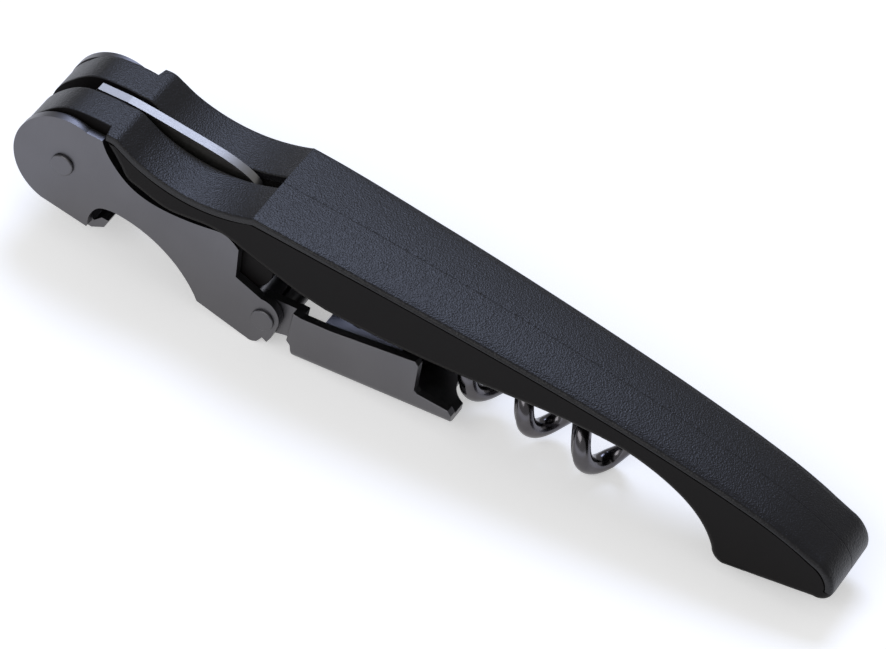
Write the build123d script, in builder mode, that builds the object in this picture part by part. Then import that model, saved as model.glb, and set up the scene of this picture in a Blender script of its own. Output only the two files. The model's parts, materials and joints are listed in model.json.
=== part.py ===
"""Double-lever waiter's corkscrew, folded, as separate pieces.

X runs along the handle, from the head with the knife and the lever (low X) to the
hooked tail (high X). Z is up, through the back of the handle, and Z = 0 is the
surface that it lies on. Y = 0 is the middle plane. All sizes are in millimetres.
Side views are drawn on the plane "side", whose zero is straight below the head rivet.
"""
import os
from math import cos, pi, radians, sin

from build123d import *

os.makedirs("parts", exist_ok=True)

# --- overall sizes -----------------------------------------------------------
length = 116.3            # folded, from the lever's ears to the end of the tail
handle_width = 16.6       # at the second ridge, the widest place
tail_width = 11.2         # at the end of the tail
shoulder_width = 15.5     # just behind the lever's ears
running = 0.05            # radial clearance of a pin in a moving piece
press = 0.02              # radial clearance of a pin in a piece that holds it
face_gap = 0.15           # side clearance between two moving pieces

# --- head --------------------------------------------------------------------
rivet_z = 12.2            # height of the head rivet
rivet_d = 2.5
rivet_head_d = 3.1
rivet_head_t = 0.4
ear_radius = 7.0          # round end of the lever around the head rivet
cheek_radius = 6.85       # round end of the two plastic cheeks
ear_corner_radius = 8.05  # how far the ear's upper corner reaches from the rivet
slot_width = 2.4          # for the knife
slot_end = 26.0           # where the slot stops, from the rivet
lever_width = 15.2        # outside to outside
sheet = 1.2               # steel sheet of lever and foot
sheet_round = 0.15        # tumbled edge of the sheet
lever_washer_t = 0.25
washer_radius = 3.5
sleeve_radius = 2.1       # steel sleeve in each cheek
cap_bar = (3.7, 6.8)      # cross bar of the cap lifter, from and to, from the rivet
step_end = 28.3           # biting edge of the first step

# --- back of the handle --------------------------------------------------------
ridge_1 = (6.3, 20.4)     # first ridge, from the rivet and above the surface
waist_low = (15.6, 17.6)
ridge_2 = (26.0, 19.5)
cover_t = 1.2             # textured cover on the back
cover_round = 0.9         # rounding of its long edges
wall = 2.2                # side walls of the channel
roof = 1.9                # plastic between cover and channel
tail_height = 10.0        # back of the handle above the tail's hook
heel_z = 1.4
heel_back = 14.3          # heel of the hook, before the end of the tail
stud_d = 2.4
stud_length = 3.0
clip_d = 4.6
clip_t = 0.5
stud_places = (36.0, 52.0, 68.0)

# --- lever, foot and their hinge -------------------------------------------------
hinge = (30.4, 4.2)       # second rivet, from the head rivet and above the surface
spacer_radius = 2.75
spacer_play = 0.15        # radial, on its rivet
spacer_seam = 0.45
foot_ear_radius = 2.8
foot_start = 34.0
foot_wall_end = 51.7
foot_end = 57.2
foot_web_start = 36.1
foot_bend = 1.4           # outside radius of the sheet's two long bends
lip_room = 0.85           # between the worm and the hollow in the foot's lip

# --- worm --------------------------------------------------------------------
worm_pivot = (26.5, 10.15)
worm_slope = 7.5          # degrees, down towards the tail
wire_d = 2.5
coil_radius = 2.5         # of the wire's centre line
pitch = 8.35
turns = 4.8
coil_start = 11.0         # from the pivot, along the worm
coil_phase = 69.0         # degrees
tip_length = 3.0
hub_radius = 3.0
hub_width = 6.8
lug_radius = 3.2
worm_washer_t = 0.25
retainer_d = 0.8
pin_half = 5.2            # half the length of the worm's pin, in two blind holes

# --- knife -------------------------------------------------------------------
blade_t = 1.4
blade_length = 23.6
tang_radius = 4.2
teeth = 9
tooth_radius = 0.8

# --- values worked out from those above --------------------------------------------
rivet_x = ear_radius - length / 2
tail_end = length - ear_radius
end_top = tail_height - 4.4
side = Plane(origin=(rivet_x, 0, 0), x_dir=(1, 0, 0), z_dir=(0, -1, 0))
ground = Plane(origin=(rivet_x, 0, 0), x_dir=(1, 0, 0), z_dir=(0, 0, 1))
ear_inside = lever_width / 2 - sheet
cheek_half = ear_inside - lever_washer_t - running
foot_ear_outside = ear_inside - face_gap
foot_ear_inside = foot_ear_outside - sheet
lug_inside = hub_width / 2 + worm_washer_t + running
head_pin = (0.0, rivet_z)


def finish(piece, name):
    """Label one finished piece and write its file."""
    piece.part.label = name
    export_step(piece.part, f"parts/{name}.step")


def around(centre, radius, angle):
    """A point of the side view on a circle, with the angle in degrees from +X."""
    turn = radians(angle)
    return (centre[0] + radius * cos(turn), centre[1] + radius * sin(turn))


def bar(centre, radius, start, stop, mode=Mode.ADD):
    """A round bar across the handle at a place of the side view.

    It runs from start to stop, measured from the middle towards the near side.
    """
    with BuildSketch(side.offset(start)) as disc:
        with Locations(centre):
            Circle(radius)
    extrude(disc.sketch, amount=stop - start, mode=mode)


def plate(outline, start, stop, mode=Mode.ADD):
    """A flat plate with the side view's outline, from start to stop as in bar."""
    with BuildSketch(side.offset(start)) as flat:
        add(make_face(outline))
    extrude(flat.sketch, amount=stop - start, mode=mode)


def outer_rim(piece):
    """The edges of the two outer faces of a folded sheet piece."""
    return piece.edges().filter_by(
        lambda edge: abs(abs(edge.center().Y) - lever_width / 2) < 0.001
    )


# --- side view of the handle ---------------------------------------------------------
def lean(point, angle, depth):
    """The point moved into the plastic, square to a surface that leans by angle."""
    turn = radians(angle)
    return (point[0] - depth * sin(turn), point[1] - depth * cos(turn))


def back_line(depth):
    """The back from the first ridge to the end of the tail, depth below its surface."""
    shoulder = (tail_end - 18.0, tail_height + 3.3)
    bend = (tail_end - 3.4, tail_height - 0.8)
    corner = (tail_end - 0.85, tail_height - 2.55)
    with BuildLine() as line:
        ThreePointArc(
            lean(ridge_1, 0, depth), lean(waist_low, 0, depth), lean(ridge_2, 0, depth)
        )
        Spline(
            lean(ridge_2, 0, depth),
            lean(half_way, 5, depth),
            lean(shoulder, 15, depth),
            lean(bend, 26, depth),
            tangents=((1, -0.02), (1, -0.49)),
        )
        ThreePointArc(
            lean(bend, 26, depth), lean(corner, 55, depth), (tail_end - depth, end_top)
        )
    return line.line


def tail_and_belly():
    """The tail's end, its hook and the lower edge of the side walls, to the head."""
    heel = (tail_end - heel_back, heel_z)
    with BuildLine() as line:
        Line((tail_end, end_top), (tail_end - 0.1, heel_z + 3.4))
        ThreePointArc(
            (tail_end - 0.1, heel_z + 3.4), (tail_end - 0.8, heel_z + 2.2),
            (tail_end - 2.3, heel_z + 1.8),
        )
        Line((tail_end - 2.3, heel_z + 1.8), heel)
        ThreePointArc(heel, (heel[0] - 1.3, heel[1] + 0.6), (heel[0] - 2.0, heel[1] + 1.8))
        Spline(
            (heel[0] - 2.0, heel[1] + 1.8),
            (heel[0] - 7.4, 8.6),
            (heel[0] - 14.4, 11.1),
            (heel[0] - 24.0, 11.7),
            tangents=((-0.5, 1), (-1, 0.02)),
        )
        Spline(
            (heel[0] - 24.0, 11.7), (56.0, 10.7), (38.0, 10.7),
            tangents=((-1, -0.05), (-1, 0.05)),
        )
        Line((38.0, 10.7), (34.0, 11.3))
        Line((34.0, 11.3), (25.6, 13.6))
    return line.line


def flank_outline():
    """The full side of the handle behind the lever's ears."""
    recess = ear_corner_radius + 0.25
    with BuildLine() as line:
        add(back_line(0))
        add(tail_and_belly())
        Spline(
            (25.6, 13.6), (21.0, 14.35), (14.5, 13.55), (10.2, 14.5),
            around(head_pin, recess + 0.45, 22),
            tangents=((-1, 0.35), (-1, 1.2)),
        )
        ThreePointArc(
            around(head_pin, recess + 0.45, 22), around(head_pin, recess, 38),
            around(head_pin, recess, 55)
        )
        Line(around(head_pin, recess, 55), (around(head_pin, recess, 55)[0], ridge_1[1] - 0.2))
        Line((around(head_pin, recess, 55)[0], ridge_1[1] - 0.2), ridge_1)
    return line.line


# --- handle body ---------------------------------------------------------------------
def arm_outline():
    """One cheek with its arm and the lug for the worm, inside the lever's plates."""
    lug_low = around(worm_pivot, lug_radius, -100)
    lug_back = around(worm_pivot, lug_radius, 10)
    with BuildLine() as line:
        ThreePointArc(
            around(head_pin, cheek_radius, -76),
            around(head_pin, cheek_radius, 190),
            around(head_pin, cheek_radius, 140),
        )
        Spline(
            around(head_pin, cheek_radius, 140), (-1.4, 19.75), (2.2, 20.3), (5.4, 20.2),
            tangents=((0.64, 0.77), (1, -0.12)),
        )
        Line((5.4, 20.2), (12.0, 16.2))
        Line((12.0, 16.2), (30.5, 16.4))
        Line((30.5, 16.4), lug_back)
        ThreePointArc(lug_back, around(worm_pivot, lug_radius, -45), lug_low)
        Line(lug_low, (12.0, 10.0))
        Line((12.0, 10.0), (6.0, 9.8))
        Line((6.0, 9.8), around(head_pin, cheek_radius, -76))
    return line.line


def plan_outline(inset):
    """The handle from above, with its sides moved in by inset."""
    front = shoulder_width / 2 - inset
    wide = handle_width / 2 - inset
    back = tail_width / 2 - inset
    with BuildLine() as line:
        side_line = Spline(
            (ridge_1[0] - 3.0, -front), (ridge_2[0] + 2.0, -wide), (68.0, 0.14 - 0.87 * wide),
            (tail_end + 1.0, -back), tangents=((1, -0.03), (1, 0.04)),
        )
        mirror(side_line, about=Plane.XZ)
        Line((ridge_1[0] - 3.0, -front), (ridge_1[0] - 3.0, front))
        Line((tail_end + 1.0, -back), (tail_end + 1.0, back))
    return line.line


def cover_underside():
    """The side view of everything that lies under the cover."""
    start = around(head_pin, ear_corner_radius + 0.25, 55)[0]
    with BuildLine() as line:
        add(back_line(cover_t))
        Polyline(
            (tail_end - cover_t, end_top), (tail_end - cover_t, heel_z + 3.6),
            (tail_end + 2, heel_z + 3.6), (tail_end + 2, -5.0), (start, -5.0),
            (start, ridge_1[1] - 0.2 - cover_t), lean(ridge_1, 0, cover_t),
        )
    return line.line


def handle_solid():
    """The whole handle behind the ears, body and cover together, with rounded edges."""
    with BuildPart() as whole:
        plate(flank_outline(), -handle_width, handle_width)
        with BuildSketch(ground) as plan:
            add(make_face(plan_outline(0)))
        extrude(plan.sketch, amount=3 * ridge_1[1], mode=Mode.INTERSECT)
        long_edges = whole.edges().filter_by(
            lambda edge: abs(edge.center().Y) > 5 and edge.center().X > rivet_x + 9
        )
        fillet(long_edges, cover_round)
    return whole.part


half_way = ((ridge_2[0] + tail_end) * 0.46, ridge_2[1] - 2.3)


def back_height(place):
    """About how high the back is between the second ridge and the tail."""
    fall = (ridge_2[1] - half_way[1]) / (half_way[0] - ridge_2[0])
    return ridge_2[1] - fall * (place - ridge_2[0])


def stud_base(place):
    """Height of the cover's underside over a stud."""
    return back_height(place) - cover_t + 0.45


def roof_base(place):
    """Height of the channel's roof at a stud."""
    return stud_base(place) - roof - 1.0


whole_handle = handle_solid()

with BuildSketch(side.offset(-slot_width / 2)) as slot:
    with BuildLine():
        Polyline(
            (-ear_radius - 1, 0), (-ear_radius - 1, 25), (slot_end, 25),
            (slot_end, 12.0), (24.0, 0), close=True,
        )
    make_face()

with BuildPart() as back_cover:
    add(whole_handle)
    plate(cover_underside(), -handle_width, handle_width, mode=Mode.SUBTRACT)
    extrude(slot.sketch, amount=slot_width, mode=Mode.SUBTRACT)
    for place in stud_places:
        with BuildSketch(ground.offset(stud_base(place) - stud_length)) as stud:
            with Locations((place, 0)):
                Circle(stud_d / 2)
        extrude(stud.sketch, amount=stud_length + 0.3)

with BuildPart() as handle_body:
    add(whole_handle)
    plate(cover_underside(), -handle_width, handle_width, mode=Mode.INTERSECT)
    plate(arm_outline(), -cheek_half, cheek_half)
    # channel for the worm
    with BuildSketch(ground) as hollow:
        add(make_face(plan_outline(wall)))
    with BuildSketch(side.offset(-handle_width)) as channel_side:
        with BuildLine():
            Polyline(
                (20.0, -5.0), (20.0, 12.6), (24.0, ridge_2[1] - cover_t - roof),
                (30.0, ridge_2[1] - cover_t - roof - 0.2),
                (half_way[0], half_way[1] - cover_t - roof),
                (tail_end - 27.0, 12.2), (tail_end - 24.0, -5.0), close=True,
            )
        make_face()
    with BuildPart(mode=Mode.PRIVATE) as channel:
        extrude(channel_side.sketch, amount=2 * handle_width)
        extrude(hollow.sketch, amount=3 * ridge_1[1], mode=Mode.INTERSECT)
    with BuildPart(mode=Mode.PRIVATE) as lugs:
        plate(arm_outline(), lug_inside, cheek_half)
        mirror(about=Plane.XZ)
    add(channel.part - lugs.part, mode=Mode.SUBTRACT)
    # room for the worm's hub between the lugs, and the knife's slot
    bar(worm_pivot, lug_radius + 1.4, -lug_inside, lug_inside, mode=Mode.SUBTRACT)
    extrude(slot.sketch, amount=slot_width, mode=Mode.SUBTRACT)
    bar(head_pin, sleeve_radius, -handle_width, handle_width, mode=Mode.SUBTRACT)
    bar(worm_pivot, rivet_d / 2 + press, -pin_half - 0.1, pin_half + 0.1, mode=Mode.SUBTRACT)
    for place in stud_places:
        with BuildSketch(ground) as stud_hole:
            with Locations((place, 0)):
                Circle(stud_d / 2 + press)
        extrude(stud_hole.sketch, amount=stud_base(place), mode=Mode.SUBTRACT)
    add(back_cover.part, mode=Mode.SUBTRACT)
finish(handle_body, "handle_body")
finish(back_cover, "back_cover")

# --- clips that hold the cover's studs inside the channel --------------------------------
with BuildPart() as cover_clips:
    for place in stud_places:
        with BuildSketch(ground.offset(roof_base(place) - clip_t)) as clip:
            with Locations((place, 0)):
                Circle(clip_d / 2)
                Circle(stud_d / 2 + press, mode=Mode.SUBTRACT)
        extrude(clip.sketch, amount=clip_t)
finish(cover_clips, "cover_clips")

# --- head rivet with the sleeves, washers and its two heads ------------------------------
with BuildPart() as head_rivet:
    bar(head_pin, rivet_d / 2, -lever_width / 2 - running, lever_width / 2 + running)
    for start in (lever_width / 2 + running, -lever_width / 2 - running - rivet_head_t):
        bar(head_pin, rivet_head_d / 2, start, start + rivet_head_t)
    fillet(
        head_rivet.edges().filter_by(GeomType.CIRCLE).group_by(Axis.Y)[0]
        + head_rivet.edges().filter_by(GeomType.CIRCLE).group_by(Axis.Y)[-1],
        rivet_head_t * 0.6,
    )
finish(head_rivet, "head_rivet")

for name, toward in (("near", 1), ("far", -1)):
    with BuildPart() as sleeve:
        low, high = sorted((toward * (slot_width / 2), toward * cheek_half))
        bar(head_pin, sleeve_radius - press, low, high)
        bar(head_pin, rivet_d / 2 + press, low, high, mode=Mode.SUBTRACT)
    finish(sleeve, f"cheek_sleeve_{name}")
    with BuildPart() as lever_washer:
        low, high = sorted((toward * (cheek_half + press), toward * (ear_inside - running)))
        bar(head_pin, washer_radius, low, high)
        bar(head_pin, rivet_d / 2 + press, low, high, mode=Mode.SUBTRACT)
    finish(lever_washer, f"lever_washer_{name}")
    with BuildPart() as knife_washer:
        low, high = sorted((toward * (blade_t / 2 + running), toward * (slot_width / 2 - press)))
        bar(head_pin, washer_radius, low, high)
        bar(head_pin, rivet_d / 2 + press, low, high, mode=Mode.SUBTRACT)
    finish(knife_washer, f"knife_washer_{name}")
    with BuildPart() as worm_washer:
        low, high = sorted((toward * (hub_width / 2 + running), toward * (lug_inside - press)))
        bar(worm_pivot, lug_radius - 0.6, low, high)
        bar(worm_pivot, rivet_d / 2 + press, low, high, mode=Mode.SUBTRACT)
    finish(worm_washer, f"worm_washer_{name}")

# --- knife -----------------------------------------------------------------------------
with BuildPart() as knife_blade:
    edge_start = (8.2, 9.6)
    edge_end = (blade_length - 2.6, 13.2)
    with BuildSketch(side.offset(-blade_t / 2)) as blade_side:
        with BuildLine():
            corner = (-0.3, 19.9)
            nose = (blade_length, 16.4)
            Line(corner, (4.0, 20.15))
            Spline(
                (4.0, 20.15), (14.0, 19.5), (20.4, 18.6), nose,
                tangents=((1, -0.01), (0.25, -1)),
            )
            Line(nose, edge_end)
            Line(edge_end, edge_start)
            Line(edge_start, (5.4, 10.6))
            Line((5.4, 10.6), around(head_pin, tang_radius, -50))
            ThreePointArc(
                around(head_pin, tang_radius, -50), around(head_pin, tang_radius, -160),
                around(head_pin, tang_radius, 120),
            )
            Line(around(head_pin, tang_radius, 120), corner)
        make_face()
        for tooth in range(teeth):
            part_way = (tooth + 1.0) / (teeth + 0.6)
            with Locations((
                edge_start[0] + part_way * (edge_end[0] - edge_start[0]),
                edge_start[1] + part_way * (edge_end[1] - edge_start[1]) - 0.25,
            )):
                Circle(tooth_radius, mode=Mode.SUBTRACT)
    extrude(blade_side.sketch, amount=blade_t)
    bar(head_pin, rivet_d / 2 + running, -blade_t, blade_t, mode=Mode.SUBTRACT)
finish(knife_blade, "knife_blade")

# --- first link of the lever ----------------------------------------------------------
def lever_outline():
    """One plate of the first link, with its round ear and the cap lifter's notch."""
    ear_top = around(head_pin, ear_radius, 72)
    corner = around(head_pin, ear_corner_radius - 0.05, 56.5)
    low = around(head_pin, ear_radius, -106)
    with BuildLine() as line:
        ThreePointArc(low, around(head_pin, ear_radius, 180), ear_top)
        Line(ear_top, corner)
        Spline(
            corner, (6.5, 16.1), (9.6, 13.95), (14.5, 13.1), (21.0, 13.95), (25.1, 12.9),
            tangents=((0.45, -1), (1, -0.9)),
        )
        Line((25.1, 12.9), (25.6, 8.6))
        Line((25.6, 8.6), (29.6, 7.2))
        ThreePointArc((29.6, 7.2), (hinge[0] + 1.75, hinge[1] + 1.75), (hinge[0] + 2.1, hinge[1]))
        Polyline(
            (hinge[0] + 2.1, hinge[1]), (32.0, 1.9), (31.6, 1.0), (30.9, 1.35),
            (30.3, 0.35), (29.7, 0.05), (29.3, 0.0), (21.4, 1.75),
        )
        Line((21.4, 1.75), (20.8, 2.6))
        ThreePointArc((20.8, 2.6), (15.4, 7.0), (7.8, 8.8))
        Spline(
            (7.8, 8.8), (5.7, 8.0), (4.95, 6.4), (4.9, 4.5),
            tangents=((-1, -0.15), (0, -1)),
        )
        Line((4.9, 4.5), low)
    return line.line


with BuildPart() as lever_arm:
    plate(lever_outline(), ear_inside, lever_width / 2)
    mirror(about=Plane.XZ)
    # the web that joins the plates at the step, with its biting edge
    with BuildSketch(side.offset(-ear_inside)) as step:
        with BuildLine():
            Polyline(
                (21.4, 1.75), (step_end, 0.2), (step_end + 0.25, 0.2 + sheet),
                (21.65, 1.75 + sheet), close=True,
            )
        make_face()
    extrude(step.sketch, amount=2 * ear_inside)
    # the cross bar of the cap lifter
    with BuildSketch(side.offset(-ear_inside)) as lifter:
        with BuildLine():
            Polyline(
                (cap_bar[0], 4.45), (4.3, 3.75), (5.1, 3.65), (cap_bar[1], 4.6),
                (cap_bar[1] + 0.4, 5.9), (cap_bar[1] - 0.6, 5.9), (5.3, 4.9),
                (cap_bar[0], 4.67 + sheet), close=True,
            )
        make_face()
    extrude(lifter.sketch, amount=2 * ear_inside)
    bar(head_pin, rivet_d / 2 + running, -lever_width, lever_width, mode=Mode.SUBTRACT)
    bar(hinge, rivet_d / 2 + press, -lever_width, lever_width, mode=Mode.SUBTRACT)
finish(lever_arm, "lever_arm")

# --- hinge between the two links --------------------------------------------------------
with BuildPart() as hinge_rivet:
    bar(hinge, rivet_d / 2, -lever_width / 2, lever_width / 2)
    for start in (lever_width / 2, -lever_width / 2 - rivet_head_t):
        bar(hinge, rivet_head_d / 2, start, start + rivet_head_t)
    fillet(
        hinge_rivet.edges().filter_by(GeomType.CIRCLE).group_by(Axis.Y)[0]
        + hinge_rivet.edges().filter_by(GeomType.CIRCLE).group_by(Axis.Y)[-1],
        rivet_head_t * 0.6,
    )
finish(hinge_rivet, "hinge_rivet")

with BuildPart() as hinge_spacer:
    half = foot_ear_inside - face_gap
    bar(hinge, spacer_radius, -half, half)
    bar(hinge, rivet_d / 2 + spacer_play, -half, half, mode=Mode.SUBTRACT)
    with BuildSketch(side.offset(-half)) as seam:
        with Locations((hinge[0] + 0.85, hinge[1] + spacer_radius)):
            Rectangle(spacer_seam, 2 * spacer_radius)
    extrude(seam.sketch, amount=2 * half, mode=Mode.SUBTRACT)
finish(hinge_spacer, "hinge_spacer")

# --- second link: the foot for the bottle's rim ------------------------------------------
def foot_bottom(x):
    """Height of the foot's underside."""
    return 0.35 + (x - 35.4) * 0.104


with BuildPart() as bottle_foot:
    # body plates outside, flush with the lever
    with BuildLine() as foot_plate:
        Polyline(
            (foot_start, 7.45), (35.2, 7.3), (39.2, 7.7), (50.9, 9.75), (51.4, 9.3),
            (foot_wall_end, 5.3), (52.3, 4.95), (foot_end - 0.6, 4.8), (foot_end, 4.2),
            (foot_end, foot_bottom(foot_end)), (35.7, foot_bottom(35.7)), (34.9, 1.2),
            (34.6, 2.3), (foot_start, 2.8), close=True,
        )
    plate(foot_plate.line, ear_inside, lever_width / 2)
    # ears set inwards, between the lever's plates
    with BuildLine() as foot_ear:
        ThreePointArc(
            around(hinge, foot_ear_radius, 90), around(hinge, foot_ear_radius, 180),
            around(hinge, foot_ear_radius, 270),
        )
        Polyline(
            around(hinge, foot_ear_radius, 270), (33.2, 2.2), (foot_start + 1.2, 2.6),
            (foot_start + 1.2, 7.35), around(hinge, foot_ear_radius, 90),
        )
    plate(foot_ear.line, foot_ear_inside, foot_ear_outside)
    with BuildLine() as joggle:
        Polyline(
            (foot_start, 2.8), (foot_start, 7.35), (foot_start + 1.2, 7.3),
            (foot_start + 1.2, 2.6), close=True,
        )
    plate(joggle.line, foot_ear_inside, lever_width / 2)
    mirror(about=Plane.XZ)
    # web
    with BuildSketch(side.offset(-ear_inside)) as foot_web:
        with BuildLine():
            Polyline(
                (foot_web_start, foot_bottom(foot_web_start)), (foot_end, foot_bottom(foot_end)),
                (foot_end, foot_bottom(foot_end) + sheet),
                (foot_web_start, foot_bottom(foot_web_start) + sheet), close=True,
            )
        make_face()
    extrude(foot_web.sketch, amount=2 * ear_inside)
    bends = bottle_foot.edges().filter_by(
        lambda edge: abs(edge.center().Y) > lever_width / 2 - 0.01
        and edge.length > 20 and edge.center().Z < 4
    )
    fillet(bends, foot_bend)
    # hollow at the lip, where it sits on the bottle's rim
    with BuildSketch(ground) as rim_hollow:
        with Locations((foot_end + 2.2, 0)):
            Circle(coil_radius + wire_d / 2 + lip_room)
    extrude(rim_hollow.sketch, amount=6, mode=Mode.SUBTRACT)
    fillet(outer_rim(bottle_foot), sheet_round)
    bar(hinge, rivet_d / 2 + running, -lever_width, lever_width, mode=Mode.SUBTRACT)
finish(bottle_foot, "bottle_foot")

# --- worm -------------------------------------------------------------------------------
worm_plane = Plane(
    origin=(rivet_x + worm_pivot[0], 0, worm_pivot[1]),
    x_dir=(0, 1, 0),
    z_dir=(cos(radians(worm_slope)), 0, -sin(radians(worm_slope))),
)

with BuildPart() as worm_hub:
    bar(worm_pivot, hub_radius, -hub_width / 2, hub_width / 2)
    fillet(worm_hub.edges().filter_by(GeomType.CIRCLE), 0.4)
    bar(worm_pivot, rivet_d / 2 + running, -hub_width, hub_width, mode=Mode.SUBTRACT)
    with BuildSketch(worm_plane.offset(1.6)) as socket:
        Circle(wire_d / 2 + press)
    extrude(socket.sketch, amount=hub_radius, mode=Mode.SUBTRACT)
    along = around(worm_pivot, 2.2, -worm_slope)
    bar(along, retainer_d / 2 + press, -hub_width, hub_width, mode=Mode.SUBTRACT)
finish(worm_hub, "worm_hub")

with BuildPart() as worm_retainer:
    bar(along, retainer_d / 2, -hub_width / 2 + 0.3, hub_width / 2 - 0.3)
finish(worm_retainer, "worm_retainer")

with BuildPart() as worm_pin:
    bar(worm_pivot, rivet_d / 2, -pin_half, pin_half)
finish(worm_pin, "worm_pin")


def on_coil(turn, radius=coil_radius):
    """A point of the coil's centre line, turn counted from its start."""
    angle = radians(coil_phase) + 2 * pi * turn
    return worm_plane.from_local_coords(
        Vector(radius * cos(angle), radius * sin(angle), coil_start + pitch * turn)
    )


def coil_tangent(turn):
    """The direction of the coil's centre line."""
    step = 0.0005
    return (on_coil(turn + step) - on_coil(turn - step)).normalized()


with BuildPart() as worm_wire:
    # straight shank from the hub
    with BuildSketch(worm_plane.offset(1.7)) as shank:
        Circle(wire_d / 2)
    shank_end = coil_start - 0.55 * pitch
    extrude(shank.sketch, amount=shank_end - 1.7)
    # the bend from the shank into the coil
    with BuildLine() as bend:
        Spline(
            worm_plane.from_local_coords(Vector(0, 0, shank_end)),
            on_coil(-0.22, coil_radius * 0.62),
            on_coil(0),
            tangents=(worm_plane.z_dir, coil_tangent(0)),
        )
    with BuildSketch(worm_plane.offset(shank_end)) as bend_end:
        Circle(wire_d / 2)
    sweep(bend_end.sketch, path=bend.line)
    # the coil
    outward = on_coil(0) - on_coil(0, radius=0)
    coil_plane = Plane(origin=on_coil(0, radius=0), x_dir=outward, z_dir=worm_plane.z_dir)
    coil = coil_plane.from_local_coords(Edge.make_helix(pitch, pitch * turns, coil_radius))
    with BuildSketch(Plane(origin=on_coil(0), z_dir=coil_tangent(0))) as coil_end:
        Circle(wire_d / 2)
    sweep(coil_end.sketch, path=coil, is_frenet=True)
    # the point
    with BuildSketch(Plane(origin=on_coil(turns), z_dir=coil_tangent(turns))) as point_base:
        Circle(wire_d / 2)
    with BuildSketch(
        Plane(origin=on_coil(turns), z_dir=coil_tangent(turns)).offset(tip_length)
    ) as point_end:
        Circle(wire_d / 12)
    loft([point_base.sketch, point_end.sketch])
    bar(along, retainer_d / 2 + press, -hub_width, hub_width, mode=Mode.SUBTRACT)
finish(worm_wire, "worm_wire")
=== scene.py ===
"""Folding lever corkscrew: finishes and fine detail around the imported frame."""
import json
from math import cos, pi, radians, sin

import bpy
import numpy as np
from mathutils import Matrix, Vector


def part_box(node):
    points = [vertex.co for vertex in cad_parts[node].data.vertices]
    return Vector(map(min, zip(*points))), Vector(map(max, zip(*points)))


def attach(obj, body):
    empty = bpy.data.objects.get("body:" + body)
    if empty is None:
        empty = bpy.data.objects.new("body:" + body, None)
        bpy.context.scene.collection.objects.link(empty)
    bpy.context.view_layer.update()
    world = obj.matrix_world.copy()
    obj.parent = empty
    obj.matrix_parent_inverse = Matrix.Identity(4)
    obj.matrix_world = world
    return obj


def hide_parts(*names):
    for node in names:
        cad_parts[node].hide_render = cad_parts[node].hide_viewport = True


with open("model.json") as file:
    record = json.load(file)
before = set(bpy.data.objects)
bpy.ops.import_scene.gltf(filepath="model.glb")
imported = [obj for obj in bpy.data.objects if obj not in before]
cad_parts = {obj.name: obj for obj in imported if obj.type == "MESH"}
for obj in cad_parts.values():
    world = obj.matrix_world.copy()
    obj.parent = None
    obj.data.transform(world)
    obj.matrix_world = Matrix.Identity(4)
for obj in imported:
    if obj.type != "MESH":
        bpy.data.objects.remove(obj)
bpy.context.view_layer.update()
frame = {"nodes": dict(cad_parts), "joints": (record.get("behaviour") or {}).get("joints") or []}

# --- Handle body: the smooth black core of the handle ------------------------------
# Glass-filled nylon, injection moulded in one piece. Its polished mould leaves a satin
# face with a very slight ripple, near black, that mirrors little. It holds every pin.


def linear(hex_colour):
    """An sRGB hex colour as linear RGBA, by the usual piecewise curve."""
    parts = [int(hex_colour[i:i + 2], 16) / 255 for i in (1, 3, 5)]
    return [c / 12.92 if c <= 0.04045 else ((c + 0.055) / 1.055) ** 2.4 for c in parts] + [1.0]


def add_node(tree, kind, settings=None, **inputs):
    """A shader node with its settings, and a value or a link for each named input."""
    new = tree.nodes.new(kind)
    for name, value in (settings or {}).items():
        setattr(new, name, value)
    for name, value in inputs.items():
        key = int(name[1:]) if name[1:].isdigit() else name.replace("_", " ")
        socket = new.inputs[key]
        if isinstance(value, bpy.types.NodeSocket):
            tree.links.new(value, socket)
        else:
            socket.default_value = value
    return new


def new_material(name):
    """An empty node material, its tree, shader and object coordinates."""
    made = bpy.data.materials.new(name)
    made.use_nodes = True
    tree = made.node_tree
    shader = tree.nodes["Principled BSDF"]
    place = tree.nodes.new("ShaderNodeTexCoord").outputs["Object"]
    return made, tree, shader, place


def dress(material, *nodes):
    """Give CAD nodes this material."""
    for name in nodes:
        piece = frame["nodes"][name]
        piece.data.materials.clear()
        piece.data.materials.append(material)


MM = 1000.0   # pattern cells per metre for a cell of one millimetre

nylon, tree, shader, place = new_material("glass_filled_nylon_satin")
ripple = add_node(tree, "ShaderNodeTexNoise", Vector=place, Scale=MM / 2.5, Detail=3.0)
rough = add_node(tree, "ShaderNodeMapRange", Value=ripple.outputs["Fac"], To_Min=0.36, To_Max=0.5)
shade = add_node(tree, "ShaderNodeMix", {"data_type": "RGBA"},
                 Factor=ripple.outputs["Fac"], _6=linear("#100e0e"), _7=linear("#151313"))
fine = add_node(tree, "ShaderNodeTexNoise", Vector=place, Scale=MM / 0.35, Detail=2.0)
dent = add_node(tree, "ShaderNodeBump", Height=fine.outputs["Fac"], Strength=0.12, Distance=0.00005)
tree.links.new(shade.outputs[2], shader.inputs["Base Color"])
tree.links.new(rough.outputs["Result"], shader.inputs["Roughness"])
tree.links.new(dent.outputs["Normal"], shader.inputs["Normal"])
shader.inputs["IOR"].default_value = 1.5
shader.inputs["Specular IOR Level"].default_value = 0.1
dress(nylon, "handle_body")

# --- Back cover: the grained strip along the handle's back ----------------------------
# ABS, moulded against an etched steel mould, whose fine leather grain breaks the shine up,
# and snapped on with studs. It forks round the knife and runs on over both cheeks. It stops
# a hair above the core, which leaves the thin dark line along the handle.


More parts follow.
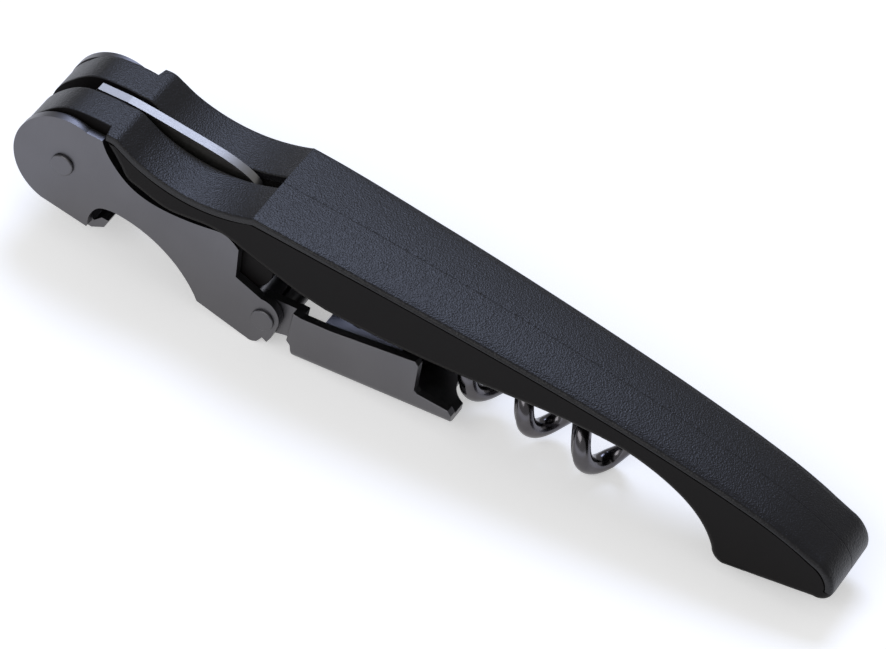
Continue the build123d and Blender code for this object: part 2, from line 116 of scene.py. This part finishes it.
def through(points, count):
    """A smooth curve through the points, evenly spaced along its length.

    Each coordinate is a Catmull-Rom cubic of the distance run between the points.
    """
    points = np.array(points, float)
    run = np.concatenate([[0], np.cumsum(np.linalg.norm(np.diff(points, axis=0), axis=1))])
    slope = np.gradient(points, run, axis=0, edge_order=2)
    at = np.linspace(0, run[-1], count)
    span = np.clip(np.searchsorted(run, at, side="right") - 1, 0, len(run) - 2)
    width = (run[span + 1] - run[span])[:, None]
    t = ((at - run[span])[:, None]) / width
    return ((2 * t**3 - 3 * t**2 + 1) * points[span] + (t**3 - 2 * t**2 + t) * width * slope[span]
            + (3 * t**2 - 2 * t**3) * points[span + 1] + (t**3 - t**2) * width * slope[span + 1])


def skin(name, rings):
    """A closed tube through rings of points: rings[i, j] is point j of ring i, in metres."""
    count, round_it = rings.shape[:2]
    i, j = np.meshgrid(np.arange(count - 1), np.arange(round_it), indexing="ij")
    following = (j + 1) % round_it
    quads = np.stack([i * round_it + j, i * round_it + following,
                      (i + 1) * round_it + following, (i + 1) * round_it + j], -1).reshape(-1, 4)
    ends = [list(range(round_it))[::-1], list(range((count - 1) * round_it, count * round_it))]
    mesh = bpy.data.meshes.new(name)
    mesh.from_pydata(rings.reshape(-1, 3).tolist(), [], quads.tolist() + ends)
    mesh.update()
    made = bpy.data.objects.new(name, mesh)
    bpy.context.scene.collection.objects.link(made)
    return made


def shade_smooth(piece, angle):
    """Smooth shading up to an angle between faces, in degrees."""
    piece.data.shade_smooth()
    piece.data.set_sharp_from_angle(angle=radians(angle))


def half_width(x):
    """Half the handle's width at a distance from the head rivet, all in millimetres."""
    places = (3.3, 12.2, 21.1, 30.1, 39.0, 47.9, 56.8, 65.7, 74.6, 83.6, 92.5, 101.4, 110.3)
    halves = (7.75, 8.02, 8.233, 8.297, 8.168, 7.898, 7.547, 7.173, 6.832, 6.529, 6.238, 5.935, 5.6)
    curve = through(np.column_stack([places, halves]), 400)
    return np.interp(x, curve[:, 0], curve[:, 1])


RIVET_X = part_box("lever_arm")[0].x * 1000 + 7.0    # the head rivet's place along the handle
EDGE_DEPTH = 1.03       # the cover's side edge, below the middle of its back
CROWN = (0.12, 0.42)    # fall of the back from its middle to its edge, on the arms and behind
ROUND = (0.28, 0.62)    # radius of the long edges, on the arms and behind
SLOT = 1.2              # half the width of the knife's slot
SEAM = 0.09             # half the width of the mould's parting line
CHEEK = (4.78, 6.08)    # in front of here the cover is only as wide as a cheek


def cover_section(x, inner_left, inner_right):
    """One cross-section of the cover as (across, depth) pairs, going once round.

    Depth below the crest is the crown times the square of the distance from the middle over
    the half width. A quarter circle joins it to each outer side, and a small one to each side
    of the slot. Crown and circle grow from the arms' values to the back's by a smooth step,
    and the crown dies away in a straight line at the tail.
    """
    half = half_width(x)
    share = np.clip((x - 24) / 22, 0, 1)
    share = share * share * (3 - 2 * share)
    fall, corner = (a + (b - a) * share for a, b in (CROWN, ROUND))
    fall *= np.clip((109.6 - x) / 6, 0.06, 1)
    if x < CHEEK[0]:
        half, fall, corner = CHEEK[1], 0.0, 0.1
        inner_left, inner_right = (edge and edge * 1.03 for edge in (inner_left, inner_right))
    edges = []
    for side_sign, inner in ((-1, inner_left), (1, inner_right)):
        if inner is None:
            turn = np.linspace(0, pi / 2, 9)
            across = side_sign * (half - 0.03 - corner + corner * np.cos(turn))
            depth = fall + 0.02 + corner - corner * np.sin(turn)
        else:
            turn = np.linspace(0, pi / 2, 5)
            across = side_sign * (side_sign * inner - 0.2 + 0.2 * np.cos(turn))
            depth = fall * (inner / half) ** 2 + 0.2 - 0.2 * np.sin(turn)
        edges.append((across, depth))
    (left, left_depth), (right, right_depth) = edges
    inside = np.linspace(left[-1], right[-1], 33)[1:-1]
    if inner_left is None and inner_right is None:
        inside = np.sort(np.concatenate([inside[np.abs(inside) > 2 * SEAM],
                                         np.array([-2, -1, -0.4, 0.4, 1, 2]) * SEAM]))
    crown = fall * (inside / half) ** 2
    if inner_left is None and inner_right is None:
        crown = crown + np.where(np.abs(inside) < 0.7 * SEAM, 0.035, 0.0)
    across = np.concatenate([left[:1], left, inside, right[::-1], right[:1]])
    depth = np.concatenate([[EDGE_DEPTH], left_depth, crown, right_depth[::-1], [EDGE_DEPTH]])
    return across, depth


def cover_strip(name, profile, inner_left=None, inner_right=None):
    """A strip of the cover: its cross-section carried square to the side view's profile."""
    along = np.gradient(profile, axis=0)
    along /= np.linalg.norm(along, axis=1)[:, None]
    inward = np.column_stack([along[:, 1], -along[:, 0]])
    rings = []
    for (x, z), normal in zip(profile, inward):
        across, depth = cover_section(x, inner_left, inner_right)
        rings.append(np.column_stack([RIVET_X + x + normal[0] * depth, across,
                                      z + normal[1] * depth]))
    piece = skin(name, np.array(rings)[:, ::-1] / 1000)
    shade_smooth(piece, 40)
    piece.data.materials.append(abs_grain)
    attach(piece, "handle")
    return piece


abs_grain, tree, shader, place = new_material("abs_leather_grain")
cells = add_node(tree, "ShaderNodeTexVoronoi", {"feature": "SMOOTH_F1"}, Vector=place,
                 Scale=MM / 0.22, Smoothness=0.6)
wander = add_node(tree, "ShaderNodeTexNoise", Vector=place, Scale=MM / 0.17, Detail=3.0)
grain = add_node(tree, "ShaderNodeMath", {"operation": "ADD"},
                 _0=cells.outputs["Distance"], _1=wander.outputs["Fac"])
dent = add_node(tree, "ShaderNodeBump", Height=grain.outputs["Value"], Strength=0.8,
                Distance=0.00005)
shade = add_node(tree, "ShaderNodeMix", {"data_type": "RGBA"},
                 Factor=wander.outputs["Fac"], _6=linear("#100f11"), _7=linear("#171619"))
tree.links.new(shade.outputs[2], shader.inputs["Base Color"])
tree.links.new(dent.outputs["Normal"], shader.inputs["Normal"])
shader.inputs["Roughness"].default_value = 0.36
shader.inputs["IOR"].default_value = 1.4
shader.inputs["Specular IOR Level"].default_value = 0.5

WAIST = ((-6.66, 10.41), (-6.87, 11.6), (-6.87, 12.8), (-6.66, 13.99), (-6.25, 15.12),
         (-5.79, 15.96), (-5.29, 16.64), (-4.51, 17.54), (-3.67, 18.39), (-2.73, 19.13),
         (-1.68, 19.7), (-0.53, 20.05), (0.65, 20.23), (1.84, 20.33), (3.03, 20.39),
         (4.22, 20.38), (6.3, 20.38), (7.6, 19.8), (9.38, 18.95), (12.66, 18.0), (16.04, 17.58),
         (19.45, 17.69), (22.8, 18.34), (26.05, 19.5))
MAIN = ((26.0, 19.5), (29.0, 19.43), (32.74, 19.3), (39.47, 18.98), (46.19, 18.56), (52.91, 18.04),
        (59.62, 17.45), (66.33, 16.79), (73.02, 16.04), (79.71, 15.18), (86.37, 14.16),
        (93.0, 12.98), (99.57, 11.48), (103.0, 10.38), (105.9, 9.2), (106.86, 8.81),
        (107.72, 8.23), (108.43, 7.47), (108.97, 6.58), (109.25, 5.6), (109.3, 5.02))
waist_profile, main_profile = through(WAIST, 170), through(MAIN, 420)
cover_main = cover_strip("cover_main", main_profile)
cover_near_arm = cover_strip("cover_near_arm", waist_profile, inner_right=-SLOT)
cover_far_arm = cover_strip("cover_far_arm", waist_profile, inner_left=SLOT)
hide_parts("back_cover")

# --- Lever, foot and their rivets ---------------------------------------------------------
# The two links are folded from stamped steel sheet, brushed and plated smoky black: the thin
# plating keeps the brushing and lets the grey of the steel through. The rivets, the rolled
# spacer and the worm's hub and pins are turned from rod and plated with them.
smoky, tree, shader, place = new_material("black_plated_brushed_steel")
stretch = add_node(tree, "ShaderNodeMapping", Vector=place, Scale=(1.0, 1.0, 0.06))
brushing = add_node(tree, "ShaderNodeTexNoise", Vector=stretch.outputs["Vector"],
                    Scale=MM / 0.16, Detail=3.0, Roughness=0.6)
cloud = add_node(tree, "ShaderNodeTexNoise", Vector=place, Scale=MM / 9, Detail=2.0)
rough = add_node(tree, "ShaderNodeMapRange", Value=brushing.outputs["Fac"], To_Min=0.3, To_Max=0.46)
shade = add_node(tree, "ShaderNodeMix", {"data_type": "RGBA"},
                 Factor=cloud.outputs["Fac"], _6=linear("#626164"), _7=linear("#6f6e71"))
dent = add_node(tree, "ShaderNodeBump", Height=brushing.outputs["Fac"], Strength=0.2,
                Distance=0.00002)
tree.links.new(shade.outputs[2], shader.inputs["Base Color"])
tree.links.new(rough.outputs["Result"], shader.inputs["Roughness"])
tree.links.new(dent.outputs["Normal"], shader.inputs["Normal"])
shader.inputs["Metallic"].default_value = 1.0
dress(smoky, "lever_arm", "bottle_foot", "head_rivet", "hinge_rivet", "hinge_spacer", "worm_hub",
      "worm_retainer", "worm_pin")

# --- Knife, sleeves and clips --------------------------------------------------------------
# The blade is stainless steel strip, ground along its length and left bright, which gives
# fine streaks. The cheeks' sleeves and the cover's spring clips are of bare steel as well.
blade_steel, tree, shader, place = new_material("ground_stainless_steel")
stretch = add_node(tree, "ShaderNodeMapping", Vector=place, Scale=(0.05, 1.0, 1.0))
grinding = add_node(tree, "ShaderNodeTexNoise", Vector=stretch.outputs["Vector"],
                    Scale=MM / 0.12, Detail=3.0, Roughness=0.6)
rough = add_node(tree, "ShaderNodeMapRange", Value=grinding.outputs["Fac"], To_Min=0.28, To_Max=0.42)
dent = add_node(tree, "ShaderNodeBump", Height=grinding.outputs["Fac"], Strength=0.25,
                Distance=0.00002)
tree.links.new(rough.outputs["Result"], shader.inputs["Roughness"])
tree.links.new(dent.outputs["Normal"], shader.inputs["Normal"])
shader.inputs["Base Color"].default_value = linear("#8f8d8a")
shader.inputs["Metallic"].default_value = 1.0
dress(blade_steel, "knife_blade", "cover_clips", "cheek_sleeve_near", "cheek_sleeve_far")

# --- Washers ----------------------------------------------------------------------------
# Thin rings punched from black nylon sheet, one on each side of the cheeks, the knife and
# the worm's hub. Punched sheet is dull, with a slight cloud in it.
washer_nylon, tree, shader, place = new_material("black_nylon_washer")
punched = add_node(tree, "ShaderNodeTexNoise", Vector=place, Scale=MM / 0.8, Detail=2.0)
shade = add_node(tree, "ShaderNodeMix", {"data_type": "RGBA"},
                 Factor=punched.outputs["Fac"], _6=linear("#161616"), _7=linear("#202020"))
rough = add_node(tree, "ShaderNodeMapRange", Value=punched.outputs["Fac"], To_Min=0.42, To_Max=0.6)
tree.links.new(shade.outputs[2], shader.inputs["Base Color"])
tree.links.new(rough.outputs["Result"], shader.inputs["Roughness"])
dress(washer_nylon, "lever_washer_near", "lever_washer_far", "knife_washer_near",
      "knife_washer_far", "worm_washer_near", "worm_washer_far")

# --- Worm ---------------------------------------------------------------------------------
# Spring steel wire with a groove rolled along it, wound right-handed, ground to a point and
# plated in glossy black chrome, which shows sharp bright streaks. Its straight shank is
# pinned in a hub.
WIRE, COIL, PITCH, TURNS = 1.25, 2.5, 8.35, 4.8     # wire radius, coil radius, pitch, turns
COIL_START, COIL_PHASE = 11.0, radians(69.0)
WORM_SLOPE = radians(7.5)
worm_joint = next(joint for joint in frame["joints"] if joint["name"] == "worm_swing")
pivot = np.array(worm_joint["pos_m"]) * 1000
worm_x = np.array([cos(WORM_SLOPE), 0, -sin(WORM_SLOPE)])
worm_y = np.array([0.0, 1.0, 0.0])
worm_z = np.cross(worm_x, worm_y)


def worm_line(distance):
    """Centre line: straight on the worm's axis, then a helix whose radius grows smoothly.

    The radius follows a smooth step over two thirds of a turn before the coil starts.
    """
    turn = (distance - COIL_START) / PITCH
    grow = np.clip((turn + 0.62) / 0.62, 0, 1)
    radius = COIL * grow * grow * (3 - 2 * grow)
    angle = COIL_PHASE + 2 * pi * turn
    return (pivot + np.outer(distance, worm_x) + np.outer(radius * np.cos(angle), worm_y)
            + np.outer(radius * np.sin(angle), worm_z))


distance = np.concatenate([np.linspace(1.7, 5.0, 12), np.linspace(5.05, COIL_START, 70)[:-1],
                           np.linspace(COIL_START, COIL_START + PITCH * (TURNS + 0.17), 620)])
line = worm_line(distance)
tangent = np.gradient(line, axis=0)
tangent /= np.linalg.norm(tangent, axis=1)[:, None]
from_axis = line - pivot - np.outer((line - pivot) @ worm_x, worm_x)
blend_in = np.clip((distance - 6.0) / 4.0, 0, 1)[:, None]
steady = np.array([0.0, cos(COIL_PHASE), 0.0]) + sin(COIL_PHASE) * worm_z
outward = from_axis * blend_in + steady * (1 - blend_in)
outward -= np.sum(outward * tangent, 1)[:, None] * tangent
outward /= np.linalg.norm(outward, axis=1)[:, None]
binormal = np.cross(tangent, outward)
turns_left = TURNS + 0.17 - (distance - COIL_START) / PITCH
taper = np.clip(turns_left / 0.32, 0, 1) ** 0.6
taper = np.maximum(taper, 0.03)
around_wire = np.linspace(0, 2 * pi, 40, endpoint=False)
groove = 0.16 * np.exp(-((np.angle(np.exp(1j * (around_wire - 0.9)))) / 0.2) ** 2)
radius = WIRE * taper[:, None] - groove[None, :] * np.clip(taper[:, None] * 1.4 - 0.4, 0, 1)
rings = (line[:, None, :] + radius[:, :, None] * (
    np.cos(around_wire)[None, :, None] * outward[:, None, :]
    + np.sin(around_wire)[None, :, None] * binormal[:, None, :]))
worm = skin("worm_wire_grooved", rings / 1000)
shade_smooth(worm, 50)
chrome, tree, shader, place = new_material("black_chrome_on_steel_wire")
haze = add_node(tree, "ShaderNodeTexNoise", Vector=place, Scale=MM / 1.2, Detail=3.0)
rough = add_node(tree, "ShaderNodeMapRange", Value=haze.outputs["Fac"], To_Min=0.1, To_Max=0.26)
shade = add_node(tree, "ShaderNodeMix", {"data_type": "RGBA"},
                 Factor=haze.outputs["Fac"], _6=linear("#565458"), _7=linear("#6b696c"))
tree.links.new(shade.outputs[2], shader.inputs["Base Color"])
tree.links.new(rough.outputs["Result"], shader.inputs["Roughness"])
shader.inputs["Metallic"].default_value = 1.0
worm.data.materials.append(chrome)
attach(worm, "worm")
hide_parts("worm_wire")

# --- Studio -------------------------------------------------------------------------------
# A pale table that glows a little, as a lit acrylic one does, a cool soft light behind the
# tool, a white one over the table in front, and the camera.
table_top = bpy.data.meshes.new("table_top")
table_top.from_pydata([(-2, -2, 0), (2, -2, 0), (2, 2, 0), (-2, 2, 0)], [], [(0, 1, 2, 3)])
table = bpy.data.objects.new("table_top", table_top)
bpy.context.scene.collection.objects.link(table)
paint, tree, shader, place = new_material("pale_matte_table")
shader.inputs["Base Color"].default_value = linear("#f4f4f4")
shader.inputs["Roughness"].default_value = 0.8
shader.inputs["Emission Color"].default_value = linear("#ffffff")
shader.inputs["Emission Strength"].default_value = 0.42
table_top.materials.append(paint)


def soft_light(name, position, target, size, power, colour):
    """A rectangular soft light that faces its target."""
    lamp = bpy.data.lights.new(name, "AREA")
    lamp.shape = "RECTANGLE"
    lamp.size, lamp.size_y = size
    lamp.energy = power
    lamp.color = linear(colour)[:3]
    held = bpy.data.objects.new(name, lamp)
    held.location = position
    aim = Vector(target) - Vector(position)
    held.rotation_euler = aim.to_track_quat("-Z", "Y").to_euler()
    bpy.context.scene.collection.objects.link(held)
    return held


soft_light("back_light", (-0.24, 0.44, 0.72), (-0.02, 0, 0), (0.42, 0.34), 3.6, "#cfdcff")
soft_light("table_light", (-0.15, -0.75, 0.6), (0.0, -0.35, 0), (0.9, 0.4), 2.6, "#ffffff")

world = bpy.data.worlds.new("studio")
world.use_nodes = True
world.node_tree.nodes["Background"].inputs["Color"].default_value = linear("#ffffff")
world.node_tree.nodes["Background"].inputs["Strength"].default_value = 0.34
bpy.context.scene.world = world
bpy.context.scene.view_settings.view_transform = "Standard"

camera_data = bpy.data.cameras.new("camera")
camera_data.sensor_width = 36.0
camera_data.lens = 291.98
camera = bpy.data.objects.new("camera", camera_data)
across = Vector((0.869544, 0.451112, 0.200975))
up = Vector((-0.448146, 0.549779, 0.704917))
back = Vector((0.207504, -0.703022, 0.680222))
camera.matrix_world = Matrix.Translation((0.183677, -0.623694, 0.613788)) @ Matrix(
    (across, up, back)).transposed().to_4x4()
bpy.context.scene.collection.objects.link(camera)
bpy.context.scene.camera = camera
